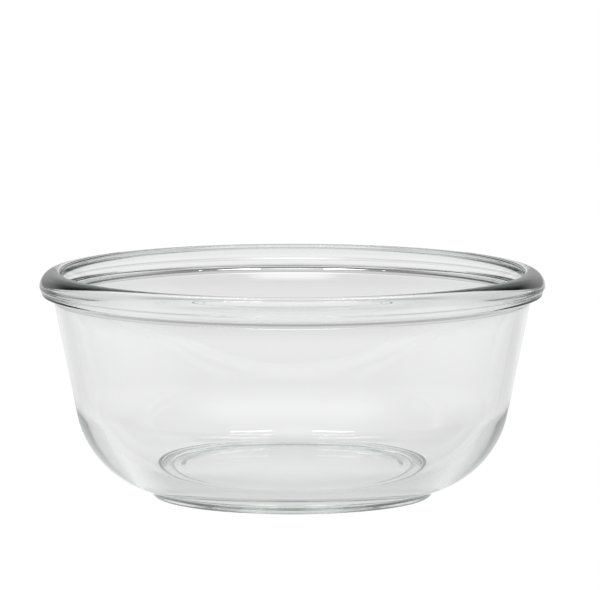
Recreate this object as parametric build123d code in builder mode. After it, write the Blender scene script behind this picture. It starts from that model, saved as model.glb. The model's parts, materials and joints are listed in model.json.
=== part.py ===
from build123d import *
from math import cos, radians, sin, tan
import os

# A clear glass prep bowl, pressed in one piece and turned about one axis.
# Millimetres, +Z up. The origin is the centre of the circle that it stands on.

os.makedirs("parts", exist_ok=True)

# Overall sizes
rim_diameter = 210.0  # across the rolled rim, the widest place
bowl_height = 94.0

# Glass thickness
wall_thickness = 5.0
floor_thickness = 5.8  # over the middle of the foot

# Rolled rim, from the mouth outwards and then down
rim_lip_radius = 1.8  # the upper inner round
rim_top_flat = 0.35  # the level stretch between the two upper rounds
rim_crown_radius = 6.4  # the upper outer round
rim_side_flat = 0.4  # upright, below the crown, down to where the rim turns in
rim_side_radius = 1.4  # the round at that turn
parting_drop = 2.9  # from that turn down to the fine edge where two parts of the mould met
parting_inset = 1.15  # that edge lies this far in from the rim's widest place
neck_drop = 1.8  # from that edge down to the wall
neck_radius = 1.0  # the hollow round between rim and wall

# Wall, knuckle and shoulder
wall_lean = 11.3  # degrees from upright
knuckle_radius = 40.4  # the outer round between wall and shoulder
inside_knuckle_radius = 38.0  # the inner round between wall and floor
shoulder_rise = 18.0  # degrees above level, from the foot out to the knuckle
shoulder_flat = 4.7  # the straight stretch between foot and knuckle

# Foot ring and the underside within it
foot_height = 2.4  # from the table to the underside of the shoulder
foot_edge_radius = 0.5
ring_width = 6.1
ring_recess_depth = 1.2
middle_recess_inset = 4.4  # the middle recess starts this far in from the ring
middle_recess_depth = 0.5  # deeper than the recess around it
middle_recess_slope = 2.0  # how far in its side leans over that depth
recess_edge_radius = 0.3

cut_overrun = 5.0  # how far a cut runs past the glass

lean = radians(wall_lean)
rise = radians(shoulder_rise)
rim_radius = rim_diameter / 2
mouth_radius = rim_radius - rim_crown_radius - rim_top_flat - rim_lip_radius
side_height = bowl_height - rim_crown_radius - rim_side_flat
parting_height = side_height - parting_drop
neck_height = parting_height - neck_drop
middle_height = ring_recess_depth + middle_recess_depth
floor_height = middle_height + floor_thickness


def inside_radius(height):
    """Distance from the axis to the straight inside of the wall."""
    return mouth_radius + (height - bowl_height) * tan(lean)


def outside_radius(height):
    """Distance from the axis to the straight outside of the wall."""
    return inside_radius(height) + wall_thickness / cos(lean)


def round_corner(section, corner, radius):
    """Round the section's corner that lies at the point given."""
    fillet(section.vertices().sort_by_distance((*corner, 0))[0], radius)


# The shoulder is straight for its flat and then for what the knuckle's round takes of it
shoulder_length = shoulder_flat + knuckle_radius * tan((radians(90) - lean - rise) / 2)
knee_height = foot_height + shoulder_length * sin(rise)
foot_radius = outside_radius(knee_height) - shoulder_length * cos(rise)
ring_inner_radius = foot_radius - ring_width
middle_radius = ring_inner_radius - middle_recess_inset

with BuildPart() as glass_bowl:
    # Outside: foot, shoulder, knuckle, wall and rolled rim, as one solid
    knee = (outside_radius(knee_height), knee_height)
    neck = (outside_radius(neck_height), neck_height)
    side = (rim_radius, side_height)
    with BuildSketch(Plane.XZ) as outside:
        with BuildLine():
            Polyline(
                (0, 0),
                (foot_radius, 0),
                (foot_radius, foot_height),
                knee,
                neck,
                (rim_radius - parting_inset, parting_height),
                side,
                (rim_radius, bowl_height),
                (0, bowl_height),
                close=True,
            )
        make_face()
        round_corner(outside, knee, knuckle_radius)
        round_corner(outside, neck, neck_radius)
        round_corner(outside, side, rim_side_radius)
    revolve(axis=Axis.Z)

    # Inside of the bowl
    floor_corner = (inside_radius(floor_height), floor_height)
    cut_top = bowl_height + cut_overrun
    with BuildSketch(Plane.XZ) as inside:
        with BuildLine():
            Polyline(
                (0, floor_height),
                floor_corner,
                (inside_radius(cut_top), cut_top),
                (0, cut_top),
                close=True,
            )
        make_face()
        round_corner(inside, floor_corner, inside_knuckle_radius)
    revolve(axis=Axis.Z, mode=Mode.SUBTRACT)

    # Underside: a recess within the foot ring, and a deeper one in its middle
    with BuildSketch(Plane.XZ):
        with BuildLine():
            Polyline(
                (0, 0),
                (ring_inner_radius, 0),
                (ring_inner_radius, ring_recess_depth),
                (middle_radius, ring_recess_depth),
                (middle_radius - middle_recess_slope, middle_height),
                (0, middle_height),
                close=True,
            )
        make_face()
    revolve(axis=Axis.Z, mode=Mode.SUBTRACT)

    # Rounds of the rim: the crown on its outer edge, then the lip on its inner one
    circles = glass_bowl.edges().filter_by(GeomType.CIRCLE)
    fillet(circles.group_by(Axis.Z)[-1].sort_by(SortBy.RADIUS)[-1], rim_crown_radius)
    circles = glass_bowl.edges().filter_by(GeomType.CIRCLE)
    fillet(circles.group_by(Axis.Z)[-1].sort_by(SortBy.RADIUS)[0], rim_lip_radius)

    # Rounds under the bowl: both edges of the foot ring's face, then those of the recesses
    circles = glass_bowl.edges().filter_by(GeomType.CIRCLE)
    fillet(circles.group_by(Axis.Z)[0], foot_edge_radius)
    circles = glass_bowl.edges().filter_by(GeomType.CIRCLE)
    fillet(circles.filter_by_position(Axis.Z, ring_recess_depth, ring_recess_depth), recess_edge_radius)

glass_bowl.part.label = "glass_bowl"
export_step(glass_bowl.part, "parts/glass_bowl.step")
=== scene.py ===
import bpy
import json
import math
from mathutils import Matrix, Vector

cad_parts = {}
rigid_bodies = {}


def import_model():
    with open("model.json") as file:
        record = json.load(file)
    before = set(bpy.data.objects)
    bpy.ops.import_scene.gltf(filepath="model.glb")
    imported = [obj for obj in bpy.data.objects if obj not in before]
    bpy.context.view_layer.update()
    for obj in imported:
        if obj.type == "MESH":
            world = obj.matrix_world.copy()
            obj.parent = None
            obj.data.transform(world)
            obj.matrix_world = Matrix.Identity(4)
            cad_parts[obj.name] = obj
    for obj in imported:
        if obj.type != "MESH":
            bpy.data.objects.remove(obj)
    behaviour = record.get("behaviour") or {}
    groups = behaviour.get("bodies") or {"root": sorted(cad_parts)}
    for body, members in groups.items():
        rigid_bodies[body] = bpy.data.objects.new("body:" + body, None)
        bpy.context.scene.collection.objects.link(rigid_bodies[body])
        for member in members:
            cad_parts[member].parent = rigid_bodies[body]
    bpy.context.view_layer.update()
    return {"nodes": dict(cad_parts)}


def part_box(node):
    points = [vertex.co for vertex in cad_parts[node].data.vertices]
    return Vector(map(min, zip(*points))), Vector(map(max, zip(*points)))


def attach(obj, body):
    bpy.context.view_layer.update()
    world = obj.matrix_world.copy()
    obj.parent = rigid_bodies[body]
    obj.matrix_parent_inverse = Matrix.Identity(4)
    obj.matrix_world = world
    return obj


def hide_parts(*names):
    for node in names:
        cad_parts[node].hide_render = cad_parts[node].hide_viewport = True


mm = 0.001

bpy.ops.object.select_all(action="SELECT")
bpy.ops.object.delete()  # what Blender opens with

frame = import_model()
print("frame loaded:", sorted(frame["nodes"]))


def linearColor(hexCode):
    # an sRGB hex colour as linear red, green, blue and alpha, by the sRGB standard's own curve
    channels = [int(hexCode[i:i + 2], 16) / 255 for i in (0, 2, 4)]
    return [c / 12.92 if c <= 0.04045 else ((c + 0.055) / 1.055) ** 2.4 for c in channels] + [1.0]


def addNode(tree, kind, settings=None, sockets=None):
    # one node, with its settings, its fixed values and its links
    node = tree.nodes.new(kind)
    for name, value in (settings or {}).items():
        setattr(node, name, value)
    for name, value in (sockets or {}).items():
        if isinstance(value, bpy.types.NodeSocket):
            tree.links.new(value, node.inputs[name])
        else:
            node.inputs[name].default_value = value
    return node


# Materials

clearGlass = {
    "body": "ffffff",
    "ior": 1.52,  # soda-lime glass
    "roughness": 0.0,
    "absorptionColor": "f2f4f3",  # the glass takes in what this lacks of white
    "absorptionDensity": 40.0,  # per metre
    "rippleSize": 14 * mm,  # the chill waves that pressing leaves
    "rippleHeight": 0.012 * mm,
    "rippleDetail": 1.0,
    "rippleRoughness": 0.4,
}


def makePressedGlass():
    # clear soda-lime glass, pressed and fire-polished: a bright smooth gloss, faint waves from the
    # mould that make seen-through lines tremble, and a grey-green deepening along the rim
    material = bpy.data.materials.new("clearSodaLimeGlassPressed")
    material.use_nodes = True
    tree = material.node_tree
    tree.nodes.clear()
    place = addNode(tree, "ShaderNodeTexCoord")
    centred = addNode(tree, "ShaderNodeMapping", sockets={"Vector": place.outputs["Object"]})
    ripple = addNode(tree, "ShaderNodeTexNoise", sockets={
        "Vector": centred.outputs["Vector"],
        "Scale": 1 / clearGlass["rippleSize"],
        "Detail": clearGlass["rippleDetail"],
        "Roughness": clearGlass["rippleRoughness"],
    })
    waves = addNode(tree, "ShaderNodeBump", sockets={
        "Height": ripple.outputs["Fac"],
        "Strength": 1.0,
        "Distance": clearGlass["rippleHeight"],
    })
    glass = addNode(tree, "ShaderNodeBsdfPrincipled", sockets={
        "Base Color": linearColor(clearGlass["body"]),
        "Roughness": clearGlass["roughness"],
        "IOR": clearGlass["ior"],
        "Transmission Weight": 1.0,
        "Normal": waves.outputs["Normal"],
    })
    depth = addNode(tree, "ShaderNodeVolumeAbsorption", sockets={
        "Color": linearColor(clearGlass["absorptionColor"]),
        "Density": clearGlass["absorptionDensity"],
    })
    addNode(tree, "ShaderNodeOutputMaterial", sockets={
        "Surface": glass.outputs["BSDF"],
        "Volume": depth.outputs["Volume"],
    })
    return material


pressedGlass = makePressedGlass()
print("material made:", pressedGlass.name)

# The bowl: its half section is drawn point by point, then spun round the Z axis

bowlLow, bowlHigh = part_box("glass_bowl")

bowl = {
    "rimRadius": (bowlHigh.x - bowlLow.x) / 2,
    "height": bowlHigh.z,
    "wall": 5.0 * mm,
    "floor": 5.8 * mm,  # over the middle of the foot
    "lean": math.radians(11.3),  # of the wall, from upright
    "lipRadius": 1.8 * mm,  # the rim's upper inner round
    "topFlat": 0.35 * mm,
    "crownRadius": 6.4 * mm,  # its upper outer round
    "sideFlat": 0.4 * mm,
    "sideRadius": 1.4 * mm,  # the round where its side turns in
    "partingDrop": 2.9 * mm,  # from that turn down to the parting line
    "partingInset": 1.15 * mm,  # that line lies this far in from the rim's side
    "ledgeHeight": 0.2 * mm,  # the fine ledge on that line, where two parts of the mould met
    "ledgeTop": 0.24 * mm,  # above the line, where the glass has stepped in behind the ledge
    "ledgeDepth": 0.1 * mm,
    "seamDrop": 1.6 * mm,  # down the inside to the groove where the plunger met the ring mould
    "seamSize": 0.2 * mm,
    "neckDrop": 1.8 * mm,  # from the parting line down to the wall
    "neckRadius": 3.0 * mm,  # the hollow round between rim and wall
    "knuckleRadius": 40.4 * mm,  # the outer round between wall and shoulder
    "insideKnuckle": 38.0 * mm,  # the inner round between wall and floor
    "shoulderRise": math.radians(18.0),  # above level, from the foot out to the knuckle
    "shoulderFlat": 4.7 * mm,  # the straight stretch between foot and knuckle
    "footHeight": 2.4 * mm,
    "footInnerEdge": 0.5 * mm,
    "footOuterEdge": 0.9 * mm,
    "footHollow": 1.2 * mm,  # the hollow round between foot and shoulder
    "ringWidth": 6.1 * mm,  # of the foot ring
    "recessDepth": 1.2 * mm,  # of the underside within the ring
    "recessSlope": 0.8 * mm,  # how far the recess's side leans in
    "middleInset": 4.4 * mm,  # the middle recess starts this far in from the ring
    "middleDepth": 0.5 * mm,  # deeper than the recess around it
    "middleSlope": 2.0 * mm,  # how far its side leans in
    "recessEdge": 0.3 * mm,  # the rounds of both recesses
    "segments": 576,  # round the bowl
    "arcError": 0.008 * mm,  # how far a round's short runs may stray from the true arc
    "lineStep": 6.0 * mm,  # the longest straight run
    "mergeReach": 0.002 * mm,  # points nearer to each other than this become one
    "knurlDepth": 0.2 * mm,  # fine radial grooves across the face that the bowl stands on
    "touching": 0.001 * mm,  # what lies lower than this is on that face
}


def sectionCorners(b):
    # the corners of the half section from the middle of the underside round to the middle of the
    # floor, each as (distance from the axis, height, radius of its round)
    mouth = b["rimRadius"] - b["crownRadius"] - b["topFlat"] - b["lipRadius"]
    sideHeight = b["height"] - b["crownRadius"] - b["sideFlat"]
    partingHeight = sideHeight - b["partingDrop"]
    partingRadius = b["rimRadius"] - b["partingInset"]
    neckHeight = partingHeight - b["neckDrop"]
    middleHeight = b["recessDepth"] + b["middleDepth"]
    floorHeight = middleHeight + b["floor"]

    def inside(height):
        return mouth + (height - b["height"]) * math.tan(b["lean"])

    def outside(height):
        return inside(height) + b["wall"] / math.cos(b["lean"])

    turn = math.radians(90) - b["lean"] - b["shoulderRise"]
    shoulder = b["shoulderFlat"] + b["knuckleRadius"] * math.tan(turn / 2)
    kneeHeight = b["footHeight"] + shoulder * math.sin(b["shoulderRise"])
    foot = outside(kneeHeight) - shoulder * math.cos(b["shoulderRise"])
    ring = foot - b["ringWidth"]
    middle = ring - b["middleInset"]
    edge = b["recessEdge"]
    seamTop = b["height"] - b["seamDrop"]
    seamHalf = b["seamSize"] / 2
    return [
        (0, middleHeight, 0),
        (middle - b["middleSlope"], middleHeight, edge),
        (middle, b["recessDepth"], edge),
        (ring - b["recessSlope"], b["recessDepth"], edge),
        (ring, 0, b["footInnerEdge"]),
        (foot, 0, b["footOuterEdge"]),
        (foot, b["footHeight"], b["footHollow"]),
        (outside(kneeHeight), kneeHeight, b["knuckleRadius"]),
        (outside(neckHeight), neckHeight, b["neckRadius"]),
        (partingRadius, partingHeight, 0),
        (partingRadius, partingHeight + b["ledgeHeight"], 0),
        (partingRadius - b["ledgeDepth"], partingHeight + b["ledgeTop"], 0),
        (b["rimRadius"], sideHeight, b["sideRadius"]),
        (b["rimRadius"], b["height"], b["crownRadius"]),
        (mouth, b["height"], b["lipRadius"]),
        # the groove, with a point above and one below it that keep the wall beside it straight
        (inside(seamTop + seamHalf), seamTop + seamHalf, 0),
        (inside(seamTop), seamTop, 0),
        (inside(seamTop - seamHalf) + seamHalf, seamTop - seamHalf, 0),
        (inside(seamTop - 2 * seamHalf), seamTop - 2 * seamHalf, 0),
        (inside(seamTop - 3 * seamHalf), seamTop - 3 * seamHalf, 0),
        (inside(floorHeight), floorHeight, b["insideKnuckle"]),
        (0, floorHeight, 0),
    ]


def drawLine(start, end, longest):
    # from the chosen vertex straight to the end, in steps no longer than the longest
    steps = max(1, math.ceil((end - start).length / longest))
    move = (end - start) / steps
    for _ in range(steps):
        bpy.ops.mesh.extrude_vertices_move(TRANSFORM_OT_translate={"value": (move.x, 0, move.y)})


def drawSection(b):
    # straight runs by extruding the last vertex, rounds by spinning it about the round's centre
    corners = sectionCorners(b)
    here = Vector(corners[0][:2])
    bpy.ops.transform.translate(value=(here.x, 0, here.y))
    for (r0, z0, _), (r1, z1, radius), (r2, z2, _) in zip(corners, corners[1:], corners[2:]):
        corner = Vector((r1, z1))
        back = (Vector((r0, z0)) - corner).normalized()
        ahead = (Vector((r2, z2)) - corner).normalized()
        turn = math.pi - back.angle(ahead)
        reach = radius * math.tan(turn / 2)
        drawLine(here, corner + back * reach, b["lineStep"])
        here = corner + ahead * reach
        if radius:
            centre = corner + (back + ahead).normalized() * radius / math.cos(turn / 2)
            left = back.cross(ahead) < 0  # which way the section turns at this corner
            bpy.ops.mesh.spin(
                steps=math.ceil(turn / (2 * math.acos(1 - b["arcError"] / radius))),
                angle=turn if left else -turn,
                center=(centre.x, 0, centre.y),
                axis=(0, 1, 0),
            )
    drawLine(here, Vector(corners[-1][:2]), b["lineStep"])


def cutKnurl(piece, b):
    # the points of every other spoke of the standing face are lifted, which leaves grooves there
    spoke = 2 * math.pi / b["segments"]
    for vertex in piece.data.vertices:
        turned = round(math.atan2(vertex.co.y, vertex.co.x) / spoke)
        vertex.select = vertex.co.z < b["touching"] and turned % 2 == 0
    bpy.ops.object.mode_set(mode="EDIT")
    bpy.ops.transform.translate(value=(0, 0, b["knurlDepth"]))
    bpy.ops.object.mode_set(mode="OBJECT")


def makeBowl(b):
    bpy.ops.object.select_all(action="DESELECT")
    bpy.ops.mesh.primitive_plane_add(size=1 * mm)
    piece = bpy.context.active_object
    piece.name = piece.data.name = "pressedBowl"
    bpy.ops.object.mode_set(mode="EDIT")
    bpy.ops.mesh.merge(type="CENTER")
    drawSection(b)
    bpy.ops.object.mode_set(mode="OBJECT")
    turnRound = piece.modifiers.new("turnRound", "SCREW")
    turnRound.steps = turnRound.render_steps = b["segments"]
    turnRound.use_merge_vertices = True
    turnRound.merge_threshold = b["mergeReach"]
    bpy.ops.object.modifier_apply(modifier=turnRound.name)
    bpy.ops.object.mode_set(mode="EDIT")
    bpy.ops.mesh.select_all(action="SELECT")
    bpy.ops.mesh.remove_doubles(threshold=b["mergeReach"])
    bpy.ops.mesh.normals_make_consistent(inside=False)
    bpy.ops.mesh.select_all(action="DESELECT")
    bpy.ops.object.mode_set(mode="OBJECT")
    cutKnurl(piece, b)
    bpy.ops.object.shade_smooth()
    piece.data.materials.append(pressedGlass)
    return piece


pressedBowl = makeBowl(bowl)
extent = [round(length / mm, 2) for length in pressedBowl.dimensions]
print("bowl made:", len(pressedBowl.data.polygons), "faces,", extent, "mm")
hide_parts("glass_bowl")
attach(pressedBowl, "root")

# Studio: white to the camera; the glass sees a white sweep behind it and a darker room around, with the
# floor's light and shade painted into its glow

studio = {
    "bounces": 32,  # light that the thick rim and foot trap turns many times before it leaves
    "floorSize": 14.0,
    "floorDrop": 0.05 * mm,  # below the face that the bowl stands on, so that they never overlap
    "paper": "f4f4f4",
    "paperGlow": 1.10,  # to the camera; a strength of 1 is white
    "paperShare": 0.12,  # the share of the paper that takes light and shadow
    # where each side begins and is full, as X or Y of the level direction from the bowl; left is
    # all that the others don't cover, and strip is the end of the white sweep, straight behind
    "edges": {
        "right": ("X", -0.1, 0.1),
        "front": ("Y", -0.2, -0.65),
        "behind": ("Y", 0.74, 0.93),
        "strip": ("Y", 0.9993, 1.0),
    },
    "brightest": 1.2,  # the ramps hold each level as a share of this
    # painted light and shade in the floor's glow, as the glass sees it: levels from the bowl outwards, at
    # these distances in metres; 1 is white
    "floorAt": (0.0, 0.08, 0.14, 0.22, 0.34, 0.5, 0.82, 0.88, 1.3, 2.0),
    "floorPaintedLight": {
        "left": (1.0, 0.92, 0.93, 0.79, 0.8, 0.75, 0.75, 0.75, 0.75, 0.75),
        "right": (1.0, 0.85, 0.84, 0.76, 0.74, 0.75, 0.75, 0.75, 0.75, 0.75),
        "front": (1.0, 0.64, 1.0, 0.5, 0.55, 0.65, 0.7, 0.7, 0.7, 0.7),
        "behind": (1.0, 0.75, 0.88, 0.93, 0.9, 0.95, 0.79, 0.79, 0.85, 0.88),
        "strip": (1.0, 0.75, 0.88, 0.93, 0.9, 0.95, 0.79, 1.0, 1.1, 1.2),
    },
    # levels from the horizon up, at these sines of the height angle
    "roomAt": (0.0, 0.12, 0.24, 0.38, 0.55, 0.75, 0.92, 0.98, 1.0),
    "roomLevels": {
        "left": (0.72, 0.65, 0.5, 0.12, 0.05, 0.12, 0.3, 0.5, 1.2),
        "right": (0.72, 0.65, 0.5, 0.05, 0.11, 0.25, 0.3, 0.5, 1.2),
        "front": (0.5, 0.22, 0.2, 0.2, 0.71, 1.08, 0.7, 0.5, 1.2),
        "behind": (0.5, 0.65, 0.69, 0.42, 0.32, 1.0, 0.7, 0.5, 1.2),
        "strip": (0.6, 0.65, 0.69, 0.42, 0.32, 1.0, 0.7, 0.5, 1.2),
    },
}


def addSurroundings(tree, place, reach, stopsAt, levels):
    # how bright the glass sees each side of the studio, mixed by the side that the place lies to:
    # left comes first, and each later row is laid over it between its edges
    flat = addNode(tree, "ShaderNodeVectorMath", {"operation": "MULTIPLY"}, {
        0: place, 1: (1, 1, 0),
    })
    aside = addNode(tree, "ShaderNodeVectorMath", {"operation": "NORMALIZE"}, {
        0: flat.outputs["Vector"],
    })
    split = addNode(tree, "ShaderNodeSeparateXYZ", sockets={"Vector": aside.outputs["Vector"]})
    ramps = {}
    for side, row in levels.items():
        ramps[side] = addNode(tree, "ShaderNodeValToRGB", sockets={"Fac": reach})
        stops = ramps[side].color_ramp.elements
        for at in stopsAt[1:-1]:
            stops.new(at / stopsAt[-1])
        for stop, level in zip(stops, row):
            stop.color = [level / studio["brightest"]] * 3 + [1]
    seen = ramps["left"].outputs["Color"]
    for side in list(levels)[1:]:
        axis, begins, full = studio["edges"][side]
        share = addNode(tree, "ShaderNodeMapRange", {"interpolation_type": "SMOOTHSTEP"}, {
            "Value": split.outputs[axis], "From Min": begins, "From Max": full,
        })
        seen = addNode(tree, "ShaderNodeMix", {"data_type": "FLOAT"}, {
            0: share.outputs["Result"], 2: seen, 3: ramps[side].outputs["Color"],
        }).outputs[0]
    scaled = addNode(tree, "ShaderNodeMath", {"operation": "MULTIPLY"}, {
        0: seen, 1: studio["brightest"],
    })
    return scaled.outputs[0]


def makeWorld(s):
    # white to the camera; the glass sees the room's sides, from the horizon up
    world = bpy.data.worlds.new("studioRoom")
    bpy.context.scene.world = world
    world.use_nodes = True
    tree = world.node_tree
    tree.nodes.clear()
    place = addNode(tree, "ShaderNodeTexCoord")
    split = addNode(tree, "ShaderNodeSeparateXYZ", sockets={"Vector": place.outputs["Generated"]})
    seen = addSurroundings(
        tree, place.outputs["Generated"], split.outputs["Z"], s["roomAt"], s["roomLevels"],
    )
    rays = addNode(tree, "ShaderNodeLightPath")
    level = addNode(tree, "ShaderNodeMix", {"data_type": "FLOAT"}, {
        0: rays.outputs["Is Camera Ray"], 2: seen, 3: 1.0,
    })
    light = addNode(tree, "ShaderNodeBackground", sockets={
        "Color": linearColor("ffffff"), "Strength": level.outputs[0],
    })
    addNode(tree, "ShaderNodeOutputWorld", sockets={"Surface": light.outputs[0]})


def makeFloor(s):
    # matt white paper: white to the camera with the bowl's soft shadow; to the glass it glows with
    # painted light and shade, greyer or brighter by side and distance from the bowl
    bpy.ops.mesh.primitive_plane_add(size=s["floorSize"], location=(0, 0, -s["floorDrop"]))
    floor = bpy.context.active_object
    floor.name = floor.data.name = "paperFloor"
    material = bpy.data.materials.new("mattPaperWithPaintedLight")
    material.use_nodes = True
    tree = material.node_tree
    tree.nodes.clear()
    place = addNode(tree, "ShaderNodeNewGeometry")
    away = addNode(tree, "ShaderNodeVectorMath", {"operation": "LENGTH"}, {
        0: place.outputs["Position"],
    })
    reach = addNode(tree, "ShaderNodeMath", {"operation": "DIVIDE"}, {
        0: away.outputs["Value"], 1: s["floorAt"][-1],
    })
    # the painted light and shade that the glass sees on the floor, by side and distance
    seen = addSurroundings(
        tree, place.outputs["Position"], reach.outputs[0], s["floorAt"], s["floorPaintedLight"],
    )
    rays = addNode(tree, "ShaderNodeLightPath")
    level = addNode(tree, "ShaderNodeMix", {"data_type": "FLOAT"}, {
        0: rays.outputs["Is Camera Ray"], 2: seen, 3: s["paperGlow"],
    })
    glow = addNode(tree, "ShaderNodeEmission", sockets={"Strength": level.outputs[0]})
    matt = addNode(tree, "ShaderNodeBsdfDiffuse", sockets={"Color": linearColor(s["paper"])})
    fromGlass = addNode(tree, "ShaderNodeMath", {"operation": "MAXIMUM"}, {
        0: rays.outputs["Is Glossy Ray"], 1: rays.outputs["Is Transmission Ray"],
    })
    # the glass sees the glow alone, with its painted light and shade and without the real shadow
    share = addNode(tree, "ShaderNodeMix", {"data_type": "FLOAT"}, {
        0: fromGlass.outputs[0], 2: 1 - s["paperShare"], 3: 1.0,
    })
    paper = addNode(tree, "ShaderNodeMixShader", sockets={
        "Fac": share.outputs[0], 1: matt.outputs[0], 2: glow.outputs[0],
    })
    addNode(tree, "ShaderNodeOutputMaterial", sockets={"Surface": paper.outputs[0]})
    floor.data.materials.append(material)


# Lamps in mirrored pairs, each facing down, then tilted and turned; metres and degrees

softboxes = {
    "leftTube": {"at": (-0.28, 0.18, 1.3), "size": (0.31, 0.05), "level": 7.0, "turn": -26.6, "tilt": 0},
    "rightTube": {"at": (0.28, 0.18, 1.3), "size": (0.31, 0.05), "level": 7.0, "turn": 26.6, "tilt": 0},
    "backLeft": {"at": (-0.22, 0.87, 1.23), "size": (0.27, 0.2), "level": 2.5, "turn": 14.0, "tilt": -36.0},
    "backRight": {"at": (0.22, 0.87, 1.23), "size": (0.27, 0.2), "level": 2.5, "turn": -14.0, "tilt": -36.0},
}


def makeSoftbox(name, box):
    # a flat lamp; its level is how bright it looks, 1 being white
    turned = (math.radians(box["tilt"]), 0, math.radians(box["turn"]))
    bpy.ops.object.light_add(type="AREA", location=box["at"], rotation=turned)
    lamp = bpy.context.active_object
    lamp.name = lamp.data.name = name
    lamp.data.shape = "RECTANGLE"
    lamp.data.size, lamp.data.size_y = box["size"]
    lamp.data.energy = box["level"] * math.pi * box["size"][0] * box["size"][1]
    lamp.visible_camera = False


view = {
    "picture": (600, 590),
    "pixel": 0.41604 * mm,  # what one pixel of the picture covers at the bowl's axis
    "distance": 2.7784,
    "elevation": math.radians(7.483),
    "target": 47.84 * mm,  # height of the point on the bowl's axis that the distance runs to
    "targetAt": (292.3, 380.04),  # where that point lies in the picture
    "sensor": 36.0,  # across, in millimetres, which is what Blender counts lenses in
    "clip": (0.1, 50.0),
}


def makeCamera(v):
    # it looks down at the target, then turns until the target lies where the picture has it
    bpy.ops.object.camera_add()
    camera = bpy.context.active_object
    camera.name = camera.data.name = "photoCamera"
    wide, high = v["picture"]
    reach = v["distance"] / v["pixel"]  # the lens in pixels
    camera.data.sensor_width = v["sensor"]
    camera.data.lens = reach / wide * v["sensor"]
    camera.data.clip_start, camera.data.clip_end = v["clip"]
    ahead = Vector((0, math.cos(v["elevation"]), -math.sin(v["elevation"])))
    up = Vector((0, math.sin(v["elevation"]), math.cos(v["elevation"])))
    pose = Matrix((Vector((1, 0, 0)), up, -ahead)).transposed().to_4x4()
    pose = pose @ Matrix.Rotation(math.atan((v["targetAt"][1] - high / 2) / reach), 4, "X")
    pose = pose @ Matrix.Rotation(math.atan((v["targetAt"][0] - wide / 2) / reach), 4, "Y")
    pose.translation = Vector((0, 0, v["target"])) - ahead * v["distance"]
    camera.matrix_world = pose
    bpy.context.scene.camera = camera


bpy.context.scene.view_settings.view_transform = "Standard"
cycles = bpy.context.scene.cycles
cycles.max_bounces = cycles.glossy_bounces = cycles.transmission_bounces = studio["bounces"]
makeWorld(studio)
makeFloor(studio)
for name, box in softboxes.items():
    makeSoftbox(name, box)
makeCamera(view)
print("studio set:", len(softboxes), "lamps")
